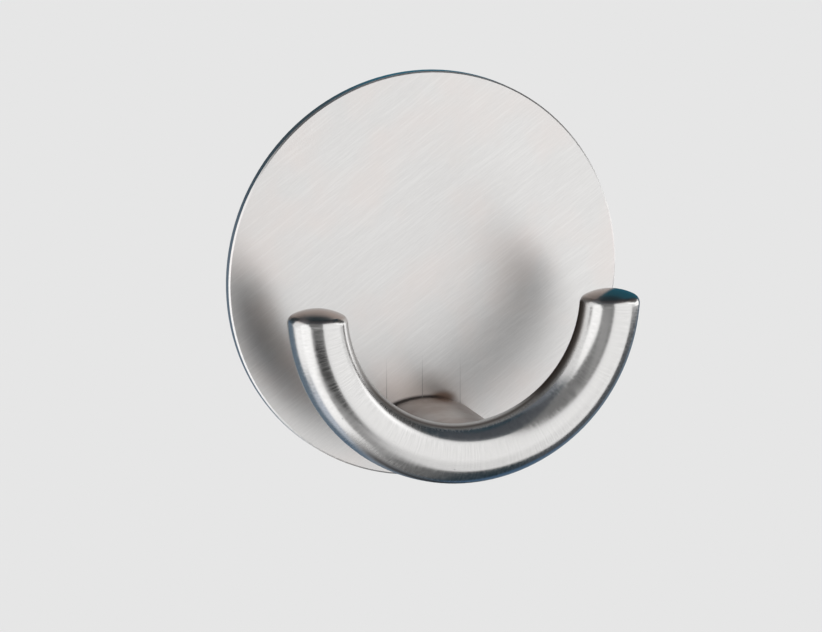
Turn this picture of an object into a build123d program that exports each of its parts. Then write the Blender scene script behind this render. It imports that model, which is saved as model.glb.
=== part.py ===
"""Wall hook: a half-ring hook bar that stands off a thin round plate on a short oval stem.

The plate sticks to the wall with a foam tape pad. Lengths are in millimetres. The origin is the centre of the
face that lies on the wall, +Z is up and the hook reaches out towards -Y.
"""

import os
from math import atan2, degrees

from build123d import *

# Round sheet-metal plate
plate_diameter = 55.0
plate_thickness = 1.5
plate_edge_break = 0.2

# Foam tape pad between the plate and the wall
pad_thickness = 1.0
pad_margin = 2.0

# Hook bar: round stock bent to an arc that lies parallel to the plate
bar_diameter = 8.0
arc_radius = 20.6
bar_margin = 2.2
hanging_gap = 12.0
tip_rise = 0.25
crown_height = 1.2
tip_rounding = 1.2

# Oval stem from the plate to the lowest point of the arc, a little taller at the plate than at the bar
stem_width = 15.2
stem_end_radius = 3.2
neck_inset = 0.15
stem_flare = 0.55

# Depths in front of the wall
plate_back = pad_thickness
plate_front = plate_back + plate_thickness
bar_depth = plate_front + hanging_gap + bar_diameter / 2

# Heights above the plate's centre: the bar's underside keeps its margin from the plate's lower edge
arc_bottom = bar_margin + bar_diameter / 2 - plate_diameter / 2
arc_height = arc_bottom + arc_radius
tip_height = arc_height + tip_rise

# The crown on each tip is part of a ball that spans the bar's full width
crown_radius = ((bar_diameter / 2) ** 2 + crown_height**2) / (2 * crown_height)
crown_centre = tip_height - crown_radius

# The stem's neck hides inside the bar's outline, and its flanks draft out to the plate
root_height = bar_diameter - 2 * neck_inset + 2 * stem_flare
stem_draft = degrees(atan2(stem_flare, bar_depth - plate_front))

# The oval's broad arc runs smoothly into the small arc at each end
end_offset = stem_width / 2 - stem_end_radius
end_step = root_height / 2 - stem_end_radius
broad_radius = (end_offset**2 + (root_height / 2) ** 2 - stem_end_radius**2) / (2 * end_step)
broad_offset = broad_radius - root_height / 2

os.makedirs("parts", exist_ok=True)

# Foam tape disc, a little smaller than the plate so that its edge stays out of sight
with BuildPart() as adhesive_pad:
    with BuildSketch(Plane.XZ):
        Circle(plate_diameter / 2 - pad_margin)
    extrude(amount=pad_thickness)

# Blanked disc with both edges deburred
with BuildPart() as back_plate:
    with BuildSketch(Plane.XZ.offset(plate_back)):
        Circle(plate_diameter / 2)
    extrude(amount=plate_thickness)
    chamfer(back_plate.faces().filter_by(Axis.Y).edges(), length=plate_edge_break)

# What the forming tool takes off each tip to leave its crown
with BuildPart() as crown_waste:
    with Locations((arc_radius, -bar_depth, tip_height), (-arc_radius, -bar_depth, tip_height)):
        Cylinder(0.57 * bar_diameter, 4 * crown_height)
    with Locations((arc_radius, -bar_depth, crown_centre), (-arc_radius, -bar_depth, crown_centre)):
        Sphere(crown_radius, mode=Mode.SUBTRACT)

# Half ring of round bar, its two ends crowned and their edges rounded
with BuildPart() as hook_bar:
    with BuildSketch(Plane.XY.offset(arc_height)):
        with Locations((arc_radius, -bar_depth)):
            Circle(bar_diameter / 2)
    revolve(axis=Axis((0, -bar_depth, arc_height), (0, 1, 0)), revolution_arc=180)
    with BuildSketch(Plane.XY.offset(arc_height)):
        with Locations((arc_radius, -bar_depth), (-arc_radius, -bar_depth)):
            Circle(bar_diameter / 2)
    extrude(amount=2 * tip_rise)
    add(crown_waste.part, mode=Mode.SUBTRACT)
    crowns = hook_bar.faces().filter_by(GeomType.SPHERE)
    fillet(crowns.edges().filter_by(GeomType.CIRCLE, reverse=True), radius=tip_rounding)

# Oval stem whose front end is coped to the bar, so that the bar lies in it as in a saddle
with BuildPart() as stem:
    with BuildSketch(Plane.XZ.offset(plate_front)) as stem_oval:
        with Locations((0, arc_bottom - broad_offset)):
            Circle(broad_radius)
        with Locations((0, arc_bottom + broad_offset)):
            Circle(broad_radius, mode=Mode.INTERSECT)
        fillet(stem_oval.vertices(), radius=stem_end_radius)
    extrude(amount=bar_depth - plate_front, taper=stem_draft)
    add(hook_bar.part, mode=Mode.SUBTRACT)

adhesive_pad.part.label = "adhesive_pad"
export_step(adhesive_pad.part, "parts/adhesive_pad.step")
back_plate.part.label = "back_plate"
export_step(back_plate.part, "parts/back_plate.step")
hook_bar.part.label = "hook_bar"
export_step(hook_bar.part, "parts/hook_bar.step")
stem.part.label = "stem"
export_step(stem.part, "parts/stem.step")
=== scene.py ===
"""Wall hook in brushed stainless steel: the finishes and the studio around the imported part.

Sizes in the classes are millimetres in the part's own frame: the origin is the centre of the face on the
wall, +Z is up and the hook reaches out towards -Y. Only the panels' distances are metres. Studio directions
are degrees: azimuth 0 is straight in front of the hook, positive azimuth is towards +X, and elevation is
above the horizon.
"""

import logging
import math
from dataclasses import dataclass, field
from enum import Enum
from typing import Any

import bmesh
import bpy
from mathutils import Matrix, Vector


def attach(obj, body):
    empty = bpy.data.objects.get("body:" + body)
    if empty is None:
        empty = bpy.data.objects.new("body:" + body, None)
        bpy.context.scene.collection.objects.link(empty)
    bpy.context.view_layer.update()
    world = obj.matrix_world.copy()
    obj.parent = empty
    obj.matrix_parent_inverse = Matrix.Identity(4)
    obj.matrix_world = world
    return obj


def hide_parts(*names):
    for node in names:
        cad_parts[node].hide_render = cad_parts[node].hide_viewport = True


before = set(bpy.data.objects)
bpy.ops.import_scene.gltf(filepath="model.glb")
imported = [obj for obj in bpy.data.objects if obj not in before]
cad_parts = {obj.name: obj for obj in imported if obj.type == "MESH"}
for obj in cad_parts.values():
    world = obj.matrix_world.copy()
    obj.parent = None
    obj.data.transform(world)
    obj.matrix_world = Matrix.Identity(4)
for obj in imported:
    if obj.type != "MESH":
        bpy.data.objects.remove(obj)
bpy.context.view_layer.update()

LOG = logging.getLogger("wall_hook")
MM = 0.001
BODY = "root"


class Node(Enum):
    """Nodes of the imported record."""

    PLATE = "back_plate"
    BAR = "hook_bar"
    STEM = "stem"
    PAD = "adhesive_pad"


class Tint(Enum):
    """Colours of the light in the studio."""

    WHITE = "#FFFFFF"
    PALE_BLUE = "#E0EAF8"
    SKY_BLUE = "#C8E5FF"
    BLUE = "#97CBFF"
    TEAL = "#ACE2FF"
    DEEP_TEAL = "#5CC8F0"
    SLATE = "#A5C9DD"


def linear(hex_colour: str) -> tuple[float, float, float, float]:
    """Turns an sRGB hex colour into linear RGBA.

    Args:
        hex_colour: Colour such as "#DAD7D4".

    Returns:
        Linear red, green, blue and an alpha of 1.
    """
    channels = [int(hex_colour[i:i + 2], 16) / 255 for i in (1, 3, 5)]
    red, green, blue = [c / 12.92 if c <= 0.04045 else ((c + 0.055) / 1.055) ** 2.4 for c in channels]
    return red, green, blue, 1.0


def add_node(
    tree: bpy.types.NodeTree,
    kind: str,
    values: dict[Any, Any] | None = None,
    links: dict[Any, bpy.types.NodeSocket] | None = None,
    **settings: Any,
) -> bpy.types.Node:
    """Adds one node with its settings, constant inputs and links.

    Args:
        tree: Node tree that the node joins.
        kind: Node type without its ShaderNode prefix, such as "Math".
        values: Constant inputs by socket name or number.
        links: Output sockets of other nodes by the input that each feeds.
        **settings: Attributes of the node, such as operation="MULTIPLY".

    Returns:
        The new node.
    """
    node = tree.nodes.new("ShaderNode" + kind)
    for name, value in settings.items():
        setattr(node, name, value)
    for name, value in (values or {}).items():
        node.inputs[name].default_value = value
    for name, socket in (links or {}).items():
        tree.links.new(socket, node.inputs[name])
    return node


def new_material(name: str) -> tuple[bpy.types.Material, bpy.types.NodeTree, bpy.types.Node]:
    """Starts a node material with nothing but its output.

    Args:
        name: Name of the real material.

    Returns:
        The material, its node tree and the output node.
    """
    material = bpy.data.materials.new(name)
    material.use_nodes = True
    material.node_tree.nodes.clear()
    output = add_node(material.node_tree, "OutputMaterial")
    return material, material.node_tree, output


def new_object(name: str, shape: bmesh.types.BMesh, material: bpy.types.Material) -> bpy.types.Object:
    """Turns a finished bmesh into an object at the origin.

    Args:
        name: Name of the piece.
        shape: Its mesh, in metres, which is freed.
        material: Its finish.

    Returns:
        The linked object.
    """
    mesh = bpy.data.meshes.new(name)
    shape.to_mesh(mesh)
    shape.free()
    mesh.materials.append(material)
    piece = bpy.data.objects.new(name, mesh)
    bpy.context.scene.collection.objects.link(piece)
    return piece


@dataclass(frozen=True)
class StemMark:
    """Oval mark round the stem on the plate, for the weld tint and for the painted shade and reflections
    there: full at inner, gone at outer, as shares of its half sizes, faded along X.
    """

    colour: str
    strength: float
    x: float
    z: float
    half_width: float
    half_height: float
    inner: float
    outer: float
    fade_from: float
    fade_to: float


@dataclass(frozen=True)
class BeltGroundSheet:
    """Stainless sheet ground on a belt: fine parallel scratches that smear reflections across themselves."""

    colour_light: str = "#D7D6D5"
    colour_dark: str = "#CBCAC9"
    colour_warm: str = "#D8CFCB"
    patch_size: float = 9.0
    patch_range: tuple[float, float] = (0.45, 0.65)
    patch_strength: float = 0.4
    roughness: float = 0.32
    roughness_spread: float = 0.03
    anisotropy: float = 0.83
    smear_angle: float = 28.0
    scratch_angles: tuple[float, float] = (32.0, 39.0)
    scratch_lengths: tuple[float, float] = (2.6, 1.2)
    # A fine belt leaves scratches some 0.03 mm wide, too fine to show, so they are drawn coarser here
    scratch_width: float = 0.16
    scratch_range: tuple[float, float] = (0.3, 0.7)
    relief: float = 0.003
    stray_colour: str = "#EDEDEC"
    stray_strength: float = 0.12
    stray_angle: float = 35.0
    stray_length: float = 5.0
    # The stray scratches are drawn coarser than real ones for the same reason
    stray_width: float = 0.25
    stray_range: tuple[float, float] = (0.56, 0.76)
    # Painted shade and a painted dark reflection of the stem on the plate above its root
    stem_root_shade: StemMark = StemMark("#8F8B87", 0.38, 0.6, -17.0, 6.0, 5.0, 0.1, 1.0, -7.0, -2.0)
    # Brown weld tint at the stem's right, partly a painted reflection of the stem
    tint_and_shade: StemMark = StemMark("#7A5B48", 0.8, 2.6, -17.2, 2.8, 1.5, 0.2, 1.0, -1.5, 1.0)
    # Warm weld tint round the stem, made stronger as a painted reflection of the bar and stem
    tint_and_reflection_halo: StemMark = StemMark("#CBBDB5", 0.55, -0.5, -18.5, 12.0, 7.5, 0.1, 1.0, -14.0, -12.0)
    # Painted contact shadow in the gap along the stem's left side
    stem_contact_shade: StemMark = StemMark("#2A2827", 0.95, 0.0, -21.3, 7.6, 4.4, 1.0, 1.12, 4.5, 1.0)
    scribe_colour: str = "#7E7C7A"
    scribe_width: float = 0.1
    scribe_marks: tuple[tuple[float, float], ...] = ((-5.3, 0.8), (-0.2, 1.0), (5.2, 0.45))
    scribe_low: float = -17.6
    scribe_high: float = -11.0
    scribe_end: float = -21.0
    front_depth: float = -2.45

    def material(self) -> bpy.types.Material:
        """Builds the node material.

        Returns:
            Brushed steel with scratches and scribed lines, weld tint round the stem, and painted shade and
            painted reflections of the stem at its root.
        """
        # The scratches run one way, so lamps and dark corners stretch into soft streaks across them
        material, tree, output = new_material("belt-ground stainless sheet")
        place = add_node(tree, "TexCoord").outputs["Object"]
        axes = add_node(tree, "SeparateXYZ", links={"Vector": place})
        # Marks belong to the front face only
        front = add_node(
            tree, "Math", {1: self.front_depth * MM}, {0: axes.outputs["Y"]}, operation="LESS_THAN",
        ).outputs["Value"]
        grain = self.grain(tree, place)
        share = add_node(
            tree, "MapRange", {"From Min": self.scratch_range[0], "From Max": self.scratch_range[1]},
            {"Value": grain},
        ).outputs["Result"]
        shade = add_node(
            tree, "MixRGB", {"Color1": linear(self.colour_dark), "Color2": linear(self.colour_light)},
            {"Fac": share},
        ).outputs["Color"]
        layers = [
            (self.colour_warm, self.warmth(tree, place)),
            (self.stray_colour, self.strays(tree, place)),
        ]
        layers += self.stem_mark_layers(tree, place, axes, front) + self.scribe_layers(tree, axes, front)
        for hex_colour, cover in layers:
            shade = add_node(
                tree, "MixRGB", {"Color2": linear(hex_colour)}, {"Fac": cover, "Color1": shade},
            ).outputs["Color"]
        rough = add_node(
            tree, "MapRange",
            {"To Min": self.roughness - self.roughness_spread,
             "To Max": self.roughness + self.roughness_spread},
            {"Value": share},
        )
        relief = add_node(tree, "Bump", {"Strength": 1.0, "Distance": self.relief * MM}, {"Height": grain})
        angle = math.radians(self.smear_angle)
        across = add_node(tree, "CombineXYZ", {"X": -math.sin(angle), "Y": 0.0, "Z": math.cos(angle)})
        steel = add_node(
            tree, "BsdfPrincipled", {"Metallic": 1.0, "Anisotropic": self.anisotropy},
            {"Base Color": shade, "Roughness": rough.outputs["Result"],
             "Normal": relief.outputs["Normal"], "Tangent": across.outputs["Vector"]},
        )
        tree.links.new(steel.outputs["BSDF"], output.inputs["Surface"])
        return material

    def grain(self, tree: bpy.types.NodeTree, place: bpy.types.NodeSocket) -> bpy.types.NodeSocket:
        """Adds the scratches, long ones and shorter ones at a small angle to them.

        Args:
            tree: Node tree of the material.
            place: Its object coordinates.

        Returns:
            Height of the scratches, most of it within scratch_range.
        """
        heights = []
        for angle, length in zip(self.scratch_angles, self.scratch_lengths):
            along = add_node(
                tree, "Mapping",
                {"Rotation": (0, -math.radians(angle), 0),
                 "Scale": (length * MM, MM, self.scratch_width * MM)},
                {"Vector": place}, vector_type="TEXTURE",
            )
            heights.append(add_node(
                tree, "TexNoise", {"Scale": 1.0, "Detail": 3.0, "Roughness": 0.65},
                {"Vector": along.outputs["Vector"]},
            ).outputs["Fac"])
        both = add_node(tree, "Math", links=dict(enumerate(heights)), operation="ADD").outputs["Value"]
        return add_node(tree, "Math", {1: len(heights)}, {0: both}, operation="DIVIDE").outputs["Value"]

    def warmth(self, tree: bpy.types.NodeTree, place: bpy.types.NodeSocket) -> bpy.types.NodeSocket:
        """Adds broad patches of a warmer grey.

        Args:
            tree: Node tree of the material.
            place: Its object coordinates.

        Returns:
            Cover of the patches.
        """
        patches = add_node(
            tree, "TexNoise", {"Scale": 1 / (self.patch_size * MM), "Detail": 2.0, "Roughness": 0.5},
            {"Vector": place},
        )
        return add_node(
            tree, "MapRange",
            {"From Min": self.patch_range[0], "From Max": self.patch_range[1],
             "To Max": self.patch_strength},
            {"Value": patches.outputs["Fac"]},
        ).outputs["Result"]

    def strays(self, tree: bpy.types.NodeTree, place: bpy.types.NodeSocket) -> bpy.types.NodeSocket:
        """Adds the few long scratches that stand out from the rest.

        Args:
            tree: Node tree of the material.
            place: Its object coordinates.

        Returns:
            Cover of the scratches.
        """
        along = add_node(
            tree, "Mapping",
            {"Rotation": (0, -math.radians(self.stray_angle), 0),
             "Scale": (self.stray_length * MM, MM, self.stray_width * MM)},
            {"Vector": place}, vector_type="TEXTURE",
        )
        streaks = add_node(
            tree, "TexNoise", {"Scale": 1.0, "Detail": 0.0}, {"Vector": along.outputs["Vector"]},
        )
        return add_node(
            tree, "MapRange",
            {"From Min": self.stray_range[0], "From Max": self.stray_range[1],
             "To Max": self.stray_strength},
            {"Value": streaks.outputs["Fac"]},
        ).outputs["Result"]

    def stem_mark_layers(
        self,
        tree: bpy.types.NodeTree,
        place: bpy.types.NodeSocket,
        axes: bpy.types.Node,
        front: bpy.types.NodeSocket,
    ) -> list[tuple[str, bpy.types.NodeSocket]]:
        """Adds the weld tint round the stem, partly a painted reflection of bar and stem, the painted shade
        above the stem's root, and the painted contact shadow along the stem's left.

        Args:
            tree: Node tree of the material.
            place: Its object coordinates.
            axes: The coordinates as single values.
            front: Cover of the plate's front face.

        Returns:
            Colour and cover of each layer.
        """
        layers = []
        # Weld tint, painted reflections and painted shade round the stem, one layer each
        for mark in (self.tint_and_reflection_halo, self.stem_root_shade, self.tint_and_shade, self.stem_contact_shade):
            oval = add_node(
                tree, "Mapping",
                {"Location": (mark.x * MM, 0, mark.z * MM),
                 "Scale": (mark.half_width * MM, 1.0, mark.half_height * MM)},
                {"Vector": place}, vector_type="TEXTURE",
            )
            ring = add_node(tree, "VectorMath", links={0: oval.outputs["Vector"]}, operation="LENGTH")
            near = add_node(
                tree, "MapRange", {"From Min": mark.outer, "From Max": mark.inner, "To Max": mark.strength},
                {"Value": ring.outputs["Value"]}, interpolation_type="SMOOTHERSTEP",
            )
            side = add_node(
                tree, "MapRange", {"From Min": mark.fade_from * MM, "From Max": mark.fade_to * MM},
                {"Value": axes.outputs["X"]}, interpolation_type="SMOOTHSTEP",
            )
            cover = add_node(
                tree, "Math", links={0: near.outputs["Result"], 1: side.outputs["Result"]},
                operation="MULTIPLY",
            )
            on_front = add_node(
                tree, "Math", links={0: cover.outputs["Value"], 1: front}, operation="MULTIPLY",
            )
            layers.append((mark.colour, on_front.outputs["Value"]))
        return layers

    def scribe_layers(
        self, tree: bpy.types.NodeTree, axes: bpy.types.Node, front: bpy.types.NodeSocket,
    ) -> list[tuple[str, bpy.types.NodeSocket]]:
        """Adds the scribed layout lines that run up from the stem and fade out.

        Args:
            tree: Node tree of the material.
            axes: The coordinates as single values.
            front: Cover of the plate's front face.

        Returns:
            Colour and cover of each line.
        """
        layers = []
        above = add_node(
            tree, "Math", {1: self.scribe_end * MM}, {0: axes.outputs["Z"]}, operation="GREATER_THAN",
        )
        shown = add_node(tree, "Math", links={0: front, 1: above.outputs["Value"]}, operation="MULTIPLY")
        for offset, strength in self.scribe_marks:
            line = add_node(
                tree, "Math", {1: offset * MM, 2: self.scribe_width * MM / 2}, {0: axes.outputs["X"]},
                operation="COMPARE",
            )
            reach = add_node(
                tree, "MapRange",
                {"From Min": self.scribe_high * MM, "From Max": self.scribe_low * MM, "To Max": strength},
                {"Value": axes.outputs["Z"]},
            )
            mark = add_node(
                tree, "Math", links={0: line.outputs["Value"], 1: reach.outputs["Result"]},
                operation="MULTIPLY",
            )
            cover = add_node(
                tree, "Math", links={0: mark.outputs["Value"], 1: shown.outputs["Value"]},
                operation="MULTIPLY",
            )
            layers.append((self.scribe_colour, cover.outputs["Value"]))
        return layers


@dataclass(frozen=True)
class SatinRoundBar:
    """Drawn stainless bar polished round and round: hair-fine rings that smear reflections along the bar."""

    colour_light: str = "#D0CFCE"
    colour_dark: str = "#C5C4C3"
    colour_tip: str = "#A89B94"
    # Painted shade on the bar's back, which faces the plate
    colour_back_shade: str = "#A5A19E"
    # Painted shade round the stem and inside the right arm, a little warm
    colour_painted_shade: str = "#6E6966"
    edge_clean: str = "#F4F4F4"
    # Edge tint where that shade is painted
    edge_painted_shade: str = "#857F7B"
    roughness: float = 0.22
    roughness_spread: float = 0.05
    roughness_tip: float = 0.22
    roughness_shade_zone: float = 0.42
    anisotropy: float = 0.5
    # Polishing lines are some 0.02 mm wide, too fine to show, so the rings are drawn coarser here
    ring_width: float = 0.2
    ring_length: float = 0.8
    ring_depth: float = 0.0042
    ring_range: tuple[float, float] = (0.35, 0.65)
    pit_spacing: float = 1.4
    pit_radius: float = 0.1
    pit_depth: float = 0.03
    pit_cluster: float = 5.0
    pit_range: tuple[float, float] = (0.5, 0.6)
    pit_least: float = 0.001
    # Depths over which the painted shade on the bar's back comes in
    back_depths: tuple[float, float] = (-17.2, -16.0)
    # Where the painted shade round the stem lies on the bar, and how far it reaches along it
    shade_depths: tuple[float, float] = (-20.7, -19.5)
    shade_end: tuple[float, float] = (-18.7, -19.8)
    shade_slant: float = 0.08
    shade_reach: tuple[float, float] = (18.0, 12.5)
    # Where the painted shade lies inside the right arm
    inside_radii: tuple[float, float] = (16.89, 16.63)
    inside_reach: tuple[float, float] = (6.0, 11.5)
    tip_heights: tuple[float, float] = (-1.9, -1.3)

    def material(self, arc_radius: float, arc_depth: float, arc_height: float) -> bpy.types.Material:
        """Builds the node material.

        Args:
            arc_radius: Radius of the bar's centre line.
            arc_depth: Distance of the arc in front of the wall.
            arc_height: Height of the arc's centre.

        Returns:
            Satin steel whose rings follow the bent bar, with darker tips, painted shade on its back, and
            painted shade and a duller surface round the stem and inside the right arm.
        """
        # The rings lie across the bar, so highlights stay narrow bands that flow along its bend
        material, tree, output = new_material("satin stainless bar")
        place = add_node(tree, "TexCoord").outputs["Object"]
        centred = add_node(
            tree, "VectorMath", {1: (0, -arc_depth * MM, arc_height * MM)}, {0: place}, operation="SUBTRACT",
        ).outputs["Vector"]
        along = add_node(tree, "VectorMath", {1: (0, 1, 0)}, {0: centred}, operation="CROSS_PRODUCT")
        rings = self.rings(tree, centred, arc_radius)
        share = add_node(
            tree, "MapRange", {"From Min": self.ring_range[0], "From Max": self.ring_range[1]},
            {"Value": rings},
        ).outputs["Result"]
        back, tint_and_shade, dull, tip = self.zones(tree, place, centred)
        shade = add_node(
            tree, "MixRGB", {"Color1": linear(self.colour_dark), "Color2": linear(self.colour_light)},
            {"Fac": share},
        ).outputs["Color"]
        # Darker tips, then painted shade on the back, round the stem and inside the right arm
        layers = ((self.colour_tip, tip), (self.colour_back_shade, back), (self.colour_painted_shade, tint_and_shade))
        for hex_colour, cover in layers:
            shade = add_node(
                tree, "MixRGB", {"Color2": linear(hex_colour)}, {"Fac": cover, "Color1": shade},
            ).outputs["Color"]
        # Steel reflects less at a glancing angle than an ideal metal, and less again where shade is painted
        # round the stem and inside the right arm
        edge = add_node(
            tree, "MixRGB", {"Color1": linear(self.edge_clean), "Color2": linear(self.edge_painted_shade)},
            {"Fac": tint_and_shade},
        )
        roughness = add_node(
            tree, "MapRange",
            {"To Min": self.roughness - self.roughness_spread,
             "To Max": self.roughness + self.roughness_spread},
            {"Value": share},
        ).outputs["Result"]
        for value, cover in ((self.roughness_tip, tip), (self.roughness_shade_zone, dull)):
            roughness = add_node(
                tree, "MapRange", {"To Max": value}, {"Value": cover, "To Min": roughness},
            ).outputs["Result"]
        height = add_node(
            tree, "Math", {1: self.ring_depth}, {0: rings, 2: self.pits(tree, place)},
            operation="MULTIPLY_ADD",
        )
        relief = add_node(
            tree, "Bump", {"Strength": 1.0, "Distance": MM}, {"Height": height.outputs["Value"]},
        )
        steel = add_node(
            tree, "BsdfPrincipled", {"Metallic": 1.0, "Anisotropic": self.anisotropy},
            {"Base Color": shade, "Specular Tint": edge.outputs["Color"], "Roughness": roughness,
             "Normal": relief.outputs["Normal"], "Tangent": along.outputs["Vector"]},
        )
        tree.links.new(steel.outputs["BSDF"], output.inputs["Surface"])
        return material

    def rings(
        self, tree: bpy.types.NodeTree, centred: bpy.types.NodeSocket, arc_radius: float,
    ) -> bpy.types.NodeSocket:
        """Adds the polishing rings, unrolled along the bar's arc.

        Args:
            tree: Node tree of the material.
            centred: Coordinates about the arc's centre.
            arc_radius: Radius of the bar's centre line.

        Returns:
            Height of the rings, most of it within ring_range.
        """
        polar = add_node(tree, "SeparateXYZ", links={"Vector": centred})
        turn = add_node(
            tree, "Math", links={0: polar.outputs["Z"], 1: polar.outputs["X"]}, operation="ARCTAN2",
        )
        run = add_node(
            tree, "Math", {1: arc_radius / self.ring_width}, {0: turn.outputs["Value"]},
            operation="MULTIPLY",
        )
        depth = add_node(
            tree, "Math", {1: self.ring_length * MM}, {0: polar.outputs["Y"]}, operation="DIVIDE",
        )
        unrolled = add_node(
            tree, "CombineXYZ", links={"X": run.outputs["Value"], "Y": depth.outputs["Value"]},
        )
        return add_node(
            tree, "TexNoise", {"Scale": 1.0, "Detail": 2.0, "Roughness": 0.6},
            {"Vector": unrolled.outputs["Vector"]},
        ).outputs["Fac"]

    def pits(self, tree: bpy.types.NodeTree, place: bpy.types.NodeSocket) -> bpy.types.NodeSocket:
        """Adds small pits, in clusters.

        Args:
            tree: Node tree of the material.
            place: Its object coordinates.

        Returns:
            Height in millimetres, 0 in a pit's middle.
        """
        cells = add_node(tree, "TexVoronoi", {"Scale": 1 / (self.pit_spacing * MM)}, {"Vector": place})
        cluster = add_node(
            tree, "TexNoise", {"Scale": 1 / (self.pit_cluster * MM), "Detail": 0.0}, {"Vector": place},
        )
        radius = add_node(
            tree, "MapRange",
            {"From Min": self.pit_range[0], "From Max": self.pit_range[1], "To Min": self.pit_least,
             "To Max": self.pit_radius / self.pit_spacing},
            {"Value": cluster.outputs["Fac"]},
        )
        return add_node(
            tree, "MapRange", {"To Max": self.pit_depth},
            {"Value": cells.outputs["Distance"], "From Max": radius.outputs["Result"]},
        ).outputs["Result"]

    def zones(
        self, tree: bpy.types.NodeTree, place: bpy.types.NodeSocket, centred: bpy.types.NodeSocket,
    ) -> list[bpy.types.NodeSocket]:
        """Adds the covers of the painted shade on the back, of the tips, and of the painted shade and duller
        surface round the stem and inside the right arm.

        Args:
            tree: Node tree of the material.
            place: Its object coordinates.
            centred: Coordinates about the arc's centre.

        Returns:
            Painted shade on the back, painted shade round the stem and inside the right arm, dullness and
            tip, each 0 to 1.
        """
        axes = add_node(tree, "SeparateXYZ", links={"Vector": place})
        sideways = add_node(tree, "Math", links={0: axes.outputs["X"]}, operation="ABSOLUTE")
        # The painted shade round the stem reaches further forward on the left
        depth = add_node(
            tree, "Math", {1: -self.shade_slant}, {0: axes.outputs["X"], 2: axes.outputs["Y"]},
            operation="MULTIPLY_ADD",
        )
        flat = add_node(tree, "VectorMath", {1: (1, 0, 1)}, {0: centred}, operation="MULTIPLY")
        radius = add_node(tree, "VectorMath", links={0: flat.outputs["Vector"]}, operation="LENGTH")
        back, behind, before, beside, tip, within, rightwards = [
            add_node(
                tree, "MapRange", {"From Min": start * MM, "From Max": stop * MM}, {"Value": value},
                interpolation_type="SMOOTHSTEP",
            ).outputs["Result"]
            for (start, stop), value in (
                (self.back_depths, axes.outputs["Y"]),
                (self.shade_depths, depth.outputs["Value"]),
                (self.shade_end, depth.outputs["Value"]),
                (self.shade_reach, sideways.outputs["Value"]),
                (self.tip_heights, axes.outputs["Z"]),
                (self.inside_radii, radius.outputs["Value"]),
                (self.inside_reach, axes.outputs["X"]),
            )
        ]
        # Round the stem the bar is duller from a band in front of its middle to its back, and painted shade
        # lies on that band
        dull = add_node(tree, "Math", links={0: behind, 1: beside}, operation="MULTIPLY").outputs["Value"]
        tint_and_shade = add_node(tree, "Math", links={0: dull, 1: before}, operation="MULTIPLY").outputs["Value"]
        # Painted shade darkens the right arm inside its bend, and the steel is duller there
        inside_shade = add_node(
            tree, "Math", links={0: within, 1: rightwards}, operation="MULTIPLY",
        ).outputs["Value"]
        # The painted shade and dullness inside the right arm join those round the stem
        tint_and_shade, dull = [
            add_node(tree, "Math", links={0: cover, 1: inside_shade}, operation="MAXIMUM").outputs["Value"]
            for cover in (tint_and_shade, dull)
        ]
        return [back, tint_and_shade, dull, tip]


@dataclass(frozen=True)
class WeldedStemSteel:
    """Satin stainless block, browned in patches where the welds ran hot."""

    colour_clean: str = "#B5AFAB"
    colour_tinted: str = "#9C8F88"
    # Painted shade darkening the stem's left side
    colour_left_shade: str = "#797778"
    left_shade_reach: tuple[float, float] = (-1.5, -6.5)
    roughness: float = 0.32
    patch_size: float = 4.0
    patch_range: tuple[float, float] = (0.35, 0.65)
    # The lines are drawn coarser than the real ones, which are too fine to show
    grain_size: tuple[float, float, float] = (2.5, 0.2, 0.2)
    relief: float = 0.002

    def material(self) -> bpy.types.Material:
        """Builds the node material.

        Returns:
            Grey steel with soft brown patches, painted shade towards its left, and fine lines across the
            stem.
        """
        # Thin oxide from the weld dulls the steel to a warm grey without a sharp highlight
        material, tree, output = new_material("heat-tinted stainless stem")
        place = add_node(tree, "TexCoord").outputs["Object"]
        patches = add_node(
            tree, "TexNoise", {"Scale": 1 / (self.patch_size * MM), "Detail": 2.0}, {"Vector": place},
        )
        share = add_node(
            tree, "MapRange", {"From Min": self.patch_range[0], "From Max": self.patch_range[1]},
            {"Value": patches.outputs["Fac"]},
        )
        colour = add_node(
            tree, "MixRGB", {"Color1": linear(self.colour_clean), "Color2": linear(self.colour_tinted)},
            {"Fac": share.outputs["Result"]},
        )
        axes = add_node(tree, "SeparateXYZ", links={"Vector": place})
        # Painted shade darkens the stem towards its left
        side = add_node(
            tree, "MapRange", {"From Min": self.left_shade_reach[0] * MM, "From Max": self.left_shade_reach[1] * MM},
            {"Value": axes.outputs["X"]},
        )
        shade = add_node(
            tree, "MixRGB", {"Color2": linear(self.colour_left_shade)},
            {"Fac": side.outputs["Result"], "Color1": colour.outputs["Color"]},
        )
        along = add_node(
            tree, "Mapping", {"Scale": [v * MM for v in self.grain_size]}, {"Vector": place},
            vector_type="TEXTURE",
        )
        grain = add_node(
            tree, "TexNoise", {"Scale": 1.0, "Detail": 2.0}, {"Vector": along.outputs["Vector"]},
        )
        relief = add_node(
            tree, "Bump", {"Strength": 1.0, "Distance": self.relief * MM}, {"Height": grain.outputs["Fac"]},
        )
        steel = add_node(
            tree, "BsdfPrincipled", {"Metallic": 1.0, "Roughness": self.roughness},
            {"Base Color": shade.outputs["Color"], "Normal": relief.outputs["Normal"]},
        )
        tree.links.new(steel.outputs["BSDF"], output.inputs["Surface"])
        return material


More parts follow.
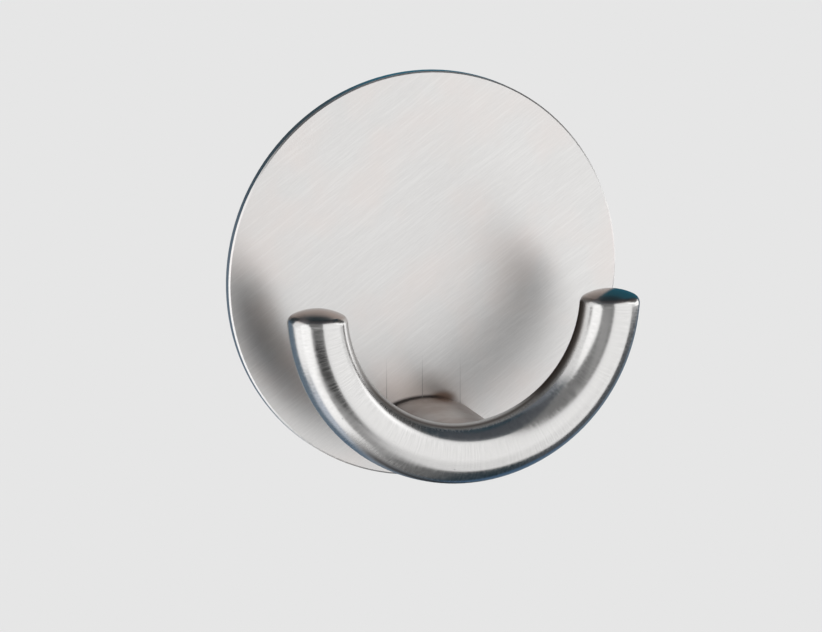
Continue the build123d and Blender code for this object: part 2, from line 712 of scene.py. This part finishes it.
@dataclass(frozen=True)
class FoamTape:
    """White closed-cell acrylic foam: matt, with a fine pebbled skin."""

    colour: str = "#E9E9E4"
    colour_pit_shade: str = "#D2D2CB"
    roughness: float = 0.85
    cell: float = 0.35
    cell_rim: float = 0.6
    relief: float = 0.05
    relief_strength: float = 0.6

    def material(self) -> bpy.types.Material:
        """Builds the node material.

        Returns:
            Pale matt foam with small cells, painted shade in their hollows.
        """
        # Small closed cells scatter the light, so the foam looks chalky and has no highlight
        material, tree, output = new_material("closed-cell foam tape")
        place = add_node(tree, "TexCoord").outputs["Object"]
        cells = add_node(
            tree, "TexVoronoi", {"Scale": 1 / (self.cell * MM), "Randomness": 1.0}, {"Vector": place},
        ).outputs["Distance"]
        # Painted shade darkens each cell's hollow middle
        share = add_node(tree, "MapRange", {"From Max": self.cell_rim}, {"Value": cells})
        colour = add_node(
            tree, "MixRGB", {"Color1": linear(self.colour_pit_shade), "Color2": linear(self.colour)},
            {"Fac": share.outputs["Result"]},
        )
        relief = add_node(
            tree, "Bump", {"Strength": self.relief_strength, "Distance": self.relief * MM},
            {"Height": cells},
        )
        foam = add_node(
            tree, "BsdfPrincipled", {"Roughness": self.roughness},
            {"Base Color": colour.outputs["Color"], "Normal": relief.outputs["Normal"]},
        )
        tree.links.new(foam.outputs["BSDF"], output.inputs["Surface"])
        return material


@dataclass
class BackPlate:
    """Thin round plate: its CAD shape is right, so it only gets its finish."""

    node: Node = Node.PLATE
    finish: BeltGroundSheet = field(default_factory=BeltGroundSheet)

    def dress(self) -> None:
        """Gives the plate its belt-ground finish."""
        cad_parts[self.node.value].material_slots[0].material = self.finish.material()
        LOG.info("dressed %s", self.node.value)


@dataclass
class HookBar:
    """Half ring of round bar: its CAD shape is right, so it only gets its finish."""

    node: Node = Node.BAR
    arc_radius: float = 20.6
    arc_depth: float = 18.5
    arc_height: float = -0.7
    finish: SatinRoundBar = field(default_factory=SatinRoundBar)

    def dress(self) -> None:
        """Gives the bar its satin finish."""
        steel = self.finish.material(self.arc_radius, self.arc_depth, self.arc_height)
        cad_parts[self.node.value].material_slots[0].material = steel
        LOG.info("dressed %s", self.node.value)


@dataclass
class Stem:
    """Oval stem: its CAD shape is right, so it only gets its finish."""

    node: Node = Node.STEM
    finish: WeldedStemSteel = field(default_factory=WeldedStemSteel)

    def dress(self) -> None:
        """Gives the stem its heat-tinted finish."""
        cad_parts[self.node.value].material_slots[0].material = self.finish.material()
        LOG.info("dressed %s", self.node.value)


@dataclass
class AdhesivePad:
    """Foam tape disc behind the plate, its cut edge a little rounded."""

    name: str = "foam_pad"
    node: Node = Node.PAD
    slot: str = "foam_tape"
    diameter: float = 51.0
    thickness: float = 1.0
    edge_round: float = 0.25
    edge_steps: int = 4
    segments: int = 160
    fill: float = 1.0
    near: float = 0.0001
    finish: FoamTape = field(default_factory=FoamTape)

    def build(self) -> bpy.types.Object:
        """Builds the disc and sets it in the CAD pad's place.

        Returns:
            The foam disc.
        """
        shape = bmesh.new()
        bmesh.ops.create_circle(shape, cap_ends=True, segments=self.segments, radius=self.diameter * MM / 2)
        bmesh.ops.rotate(shape, matrix=Matrix.Rotation(math.radians(90), 3, "X"), verts=shape.verts)
        grown = bmesh.ops.extrude_face_region(shape, geom=list(shape.faces))
        front = [v for v in grown["geom"] if isinstance(v, bmesh.types.BMVert)]
        bmesh.ops.translate(shape, vec=(0, -self.thickness * MM, 0), verts=front)
        rim = [e for e in shape.edges if abs(e.verts[0].co.y - e.verts[1].co.y) < self.near * MM]
        bmesh.ops.bevel(
            shape, geom=rim, offset=self.edge_round * MM, segments=self.edge_steps, profile=0.5,
            affect="EDGES", material=-1,
        )
        bmesh.ops.remove_doubles(shape, verts=shape.verts, dist=self.near * MM)
        bmesh.ops.recalc_face_normals(shape, faces=shape.faces)
        for face in shape.faces:
            face.smooth = len(face.verts) == 4
        pad = new_object(self.name, shape, self.finish.material())
        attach(pad, BODY)
        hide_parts(self.node.value)
        LOG.info("built %s", pad.name)
        return pad


@dataclass(frozen=True)
class Panel:
    """One flat softbox or flag, seen from the hook as a soft-edged rectangle.

    It stands at its azimuth and elevation, turned by its roll. Left, right, low and high are its edges, in
    degrees from that direction. Distance is in metres, and soft is the share of its size that fades out at
    each edge.
    """

    name: str
    azimuth: float
    elevation: float
    left: float
    right: float
    low: float
    high: float
    tint: Tint
    strength: float
    distance: float = 0.6
    soft: float = 0.12
    roll: float = 0.0

    def build(self) -> bpy.types.Object:
        """Builds the panel's mesh and its light.

        Returns:
            A quad that only reflections see.
        """
        around, up, roll = [math.radians(v) for v in (self.azimuth, self.elevation, self.roll)]
        level = Vector((math.cos(around), math.sin(around), 0))
        ahead = Vector((math.sin(around), -math.cos(around), 0))
        vertical = Vector((0, 0, 1))
        out = ahead * math.cos(up) + vertical * math.sin(up)
        upright = vertical * math.cos(up) - ahead * math.sin(up)
        side = level * math.cos(roll) + upright * math.sin(roll)
        rise = upright * math.cos(roll) - level * math.sin(roll)
        edges = (self.left, self.right, self.low, self.high)
        left, right, low, high = [self.distance * math.tan(math.radians(v)) for v in edges]
        centre = out * self.distance + side * (left + right) / 2 + rise * (low + high) / 2
        turn = Matrix((side * (right - left), rise * (high - low), out)).transposed().to_4x4()
        shape = bmesh.new()
        shape.loops.layers.uv.new("UVMap")
        bmesh.ops.create_grid(shape, x_segments=1, y_segments=1, size=0.5, calc_uvs=True)
        bmesh.ops.transform(shape, matrix=Matrix.Translation(centre) @ turn, verts=shape.verts)
        panel = new_object(self.name, shape, self.material())
        panel.visible_camera = False
        panel.visible_diffuse = False
        panel.visible_shadow = False
        return panel

    def material(self) -> bpy.types.Material:
        """Builds a glow that fades to nothing at the panel's edges.

        Returns:
            The panel's light as a material.
        """
        material, tree, output = new_material(self.name)
        place = add_node(tree, "TexCoord")
        axes = add_node(tree, "SeparateXYZ", links={"Vector": place.outputs["UV"]})
        fades = []
        for axis in ("X", "Y"):
            offset = add_node(tree, "Math", {1: 0.5}, {0: axes.outputs[axis]}, operation="SUBTRACT")
            reach = add_node(tree, "Math", links={0: offset.outputs["Value"]}, operation="ABSOLUTE")
            fades.append(add_node(
                tree, "MapRange", {"From Min": 0.5, "From Max": 0.5 - self.soft},
                {"Value": reach.outputs["Value"]}, interpolation_type="SMOOTHSTEP",
            ).outputs["Result"])
        cover = add_node(tree, "Math", links=dict(enumerate(fades)), operation="MULTIPLY")
        clear = add_node(tree, "BsdfTransparent")
        glow = add_node(tree, "Emission", {"Color": linear(self.tint.value), "Strength": self.strength})
        mixed = add_node(
            tree, "MixShader",
            links={0: cover.outputs["Value"], 1: clear.outputs["BSDF"], 2: glow.outputs["Emission"]},
        )
        tree.links.new(mixed.outputs["Shader"], output.inputs["Surface"])
        return material


# Where panels overlap as seen from the hook, the nearer one hides the other
PANELS = (
    Panel("room_front", 0, 0, -46, 46, -46, 46, Tint.WHITE, 0.4, 0.9, 0.001),
    Panel("room_left", -90, 0, -46, 46, -46, 46, Tint.WHITE, 0.6, 0.9, 0.001),
    Panel("room_right", 90, 0, -46, 46, -46, 46, Tint.WHITE, 0.1, 0.9, 0.001),
    Panel("room_back", 180, 0, -46, 46, -46, 46, Tint.BLUE, 0.18, 0.9, 0.001),
    Panel("room_top", 0, 90, -46, 46, -46, 46, Tint.TEAL, 0.08, 0.9, 0.001),
    Panel("room_bottom", 0, -90, -46, 46, -46, 46, Tint.WHITE, 0.18, 0.9, 0.001),
    Panel("ceiling", 0, 90, -40, 40, -40, 40, Tint.PALE_BLUE, 0.12, 0.66),
    Panel("ceiling_back", 165, 71, -26, 26, -21, 21, Tint.TEAL, 0.09, 0.63, 0.25),
    Panel("ceiling_left", -135, 60, -38, 38, -16, 16, Tint.PALE_BLUE, 0.25, 0.64, 0.3),
    Panel("softbox_right", 25, 0, -26, 57, -64.5, 50, Tint.WHITE, 1.28, 0.56, 0.04),
    Panel("softbox_right_low", 25, -40, -35, 35, -24, 24, Tint.WHITE, 1.05, 0.55, 0.45),
    Panel("softbox_right_shoulder", 85, -4, -14, 14, -13, 17, Tint.WHITE, 1.0, 0.605, 0.2),
    Panel("softbox_right_wing", 106, 0, -20, 20, -14, 12, Tint.WHITE, 1.7, 0.59),
    Panel("softbox_right_edge", 80, 15, -34, 34, -9, 9, Tint.WHITE, 1.9, 0.57, 0.3, -37),
    Panel("softbox_left", -71.5, -6, -20, 30, -60, 48, Tint.WHITE, 1.53, 0.57, 0.18),
    Panel("softbox_left_spill", -102, 16, -22, 24, -31, 31, Tint.WHITE, 1.1, 0.62),
    Panel("softbox_left_low", -68, -53, -20, 22, -16, 20, Tint.WHITE, 1.5, 0.5, 0.25),
    Panel("card_left", -95, -22, -30, 25, -20, 20, Tint.WHITE, 1.45, 0.61, 0.35),
    Panel("card_left_low", -112, -52, -26, 36, -18, 15, Tint.PALE_BLUE, 0.85, 0.63, 0.3),
    Panel("backdrop_left", -155, -30, -32, 32, -45, 37, Tint.SKY_BLUE, 0.29, 0.66, 0.06),
    Panel("flag_middle", -27, 18, -27, 26, -31, 35, Tint.WHITE, 0.24, 0.6, 0.08),
    Panel("flag_middle_light", -20, 0, -24, 19, -13, 15, Tint.WHITE, 0.47, 0.58, 0.3),
    Panel("flag_middle_dark", -17, -23, -22, 20, -14, 11, Tint.WHITE, 0.02, 0.575, 0.18),
    Panel("flag_middle_low", -26, -47, -31, 28, -22, 16, Tint.WHITE, 0.44, 0.61, 0.15),
    Panel("flag_right", 104, -34, -18, 13, -25, 24, Tint.PALE_BLUE, 0.125, 0.6, 0.15),
    Panel("backdrop_right", 138, -29, -26, 22, -18, 18, Tint.SKY_BLUE, 0.33, 0.63, 0.25),
    Panel("backdrop_right_low", 148, -50, -36, 36, -11, 11, Tint.BLUE, 0.27, 0.59, 0.2),
    Panel("card_low_right", 95, -71, -31, 47, -12, 19, Tint.TEAL, 0.06, 0.6, 0.2),
    Panel("card_low_left", -100, -70, -24, 50, -14, 17, Tint.WHITE, 0.62, 0.64, 0.2),
    Panel("backdrop", 180, 24, -62, 62, -18, 25, Tint.SLATE, 0.13, 0.64),
    Panel("backdrop_teal", 150, 24, -28, 28, -30, 36, Tint.DEEP_TEAL, 0.3, 0.6, 0.2),
)


@dataclass
class Studio:
    """Plain pale floor, white surroundings, softboxes and flags, and a camera at the photograph's angle."""

    floor_drop: float = 1200.0
    floor_size: float = 24000.0
    floor_colour: str = "#E6E6E6"
    camera_place: tuple[float, float, float] = (-357.12, -1001.0, 207.37)
    camera_pitch: float = 11.365
    camera_yaw: float = 19.587
    camera_near: float = 10.0
    lens: float = 353.208
    sensor: float = 36.0

    def build(self) -> None:
        """Builds the floor, the surroundings, the panels and the camera."""
        bpy.context.scene.view_settings.view_transform = "Standard"
        self.build_floor()
        self.build_world()
        for panel in PANELS:
            LOG.info("panel %s", panel.build().name)
        self.build_camera()

    def build_floor(self) -> None:
        """Lays a sheet of pale paper well below the hook."""
        shape = bmesh.new()
        bmesh.ops.create_grid(shape, x_segments=1, y_segments=1, size=self.floor_size * MM / 2)
        bmesh.ops.translate(shape, vec=(0, 0, -self.floor_drop * MM), verts=shape.verts)
        # Uncoated paper is evenly matt, so the floor stays one plain pale grey
        material, tree, output = new_material("pale paper")
        paper = add_node(tree, "BsdfDiffuse", {"Color": linear(self.floor_colour)})
        tree.links.new(paper.outputs["BSDF"], output.inputs["Surface"])
        new_object("floor", shape, material)

    def build_world(self) -> None:
        """Surrounds the hook with even white light, which eye and reflections see as the floor's grey."""
        world = bpy.data.worlds.new("studio")
        world.use_nodes = True
        world.node_tree.nodes.clear()
        tree = world.node_tree
        light = add_node(tree, "Background", {"Color": linear(Tint.WHITE.value), "Strength": 1.0})
        paper = add_node(tree, "Background", {"Color": linear(self.floor_colour), "Strength": 1.0})
        ray = add_node(tree, "LightPath")
        seen = ray.outputs["Is Camera Ray"]
        for kind in ("Is Glossy Ray", "Is Transmission Ray"):
            seen = add_node(
                tree, "Math", links={0: seen, 1: ray.outputs[kind]}, operation="MAXIMUM",
            ).outputs["Value"]
        sky = add_node(
            tree, "MixShader",
            links={0: seen, 1: light.outputs["Background"], 2: paper.outputs["Background"]},
        )
        add_node(tree, "OutputWorld", links={"Surface": sky.outputs["Shader"]})
        bpy.context.scene.world = world

    def build_camera(self) -> None:
        """Sets the camera at the photograph's angle."""
        camera = bpy.data.cameras.new("camera")
        camera.sensor_width = self.sensor
        camera.lens = self.lens
        camera.clip_start = self.camera_near * MM
        eye = bpy.data.objects.new("camera", camera)
        eye.location = [v * MM for v in self.camera_place]
        eye.rotation_euler = (math.radians(90 - self.camera_pitch), 0, -math.radians(self.camera_yaw))
        bpy.context.scene.collection.objects.link(eye)
        bpy.context.scene.camera = eye


def main() -> None:
    """Builds the pieces and the studio in order."""
    logging.basicConfig(level=logging.INFO, format="%(name)s: %(message)s")
    AdhesivePad().build()
    BackPlate().dress()
    Stem().dress()
    HookBar().dress()
    Studio().build()


if __name__ == "__main__":
    main()
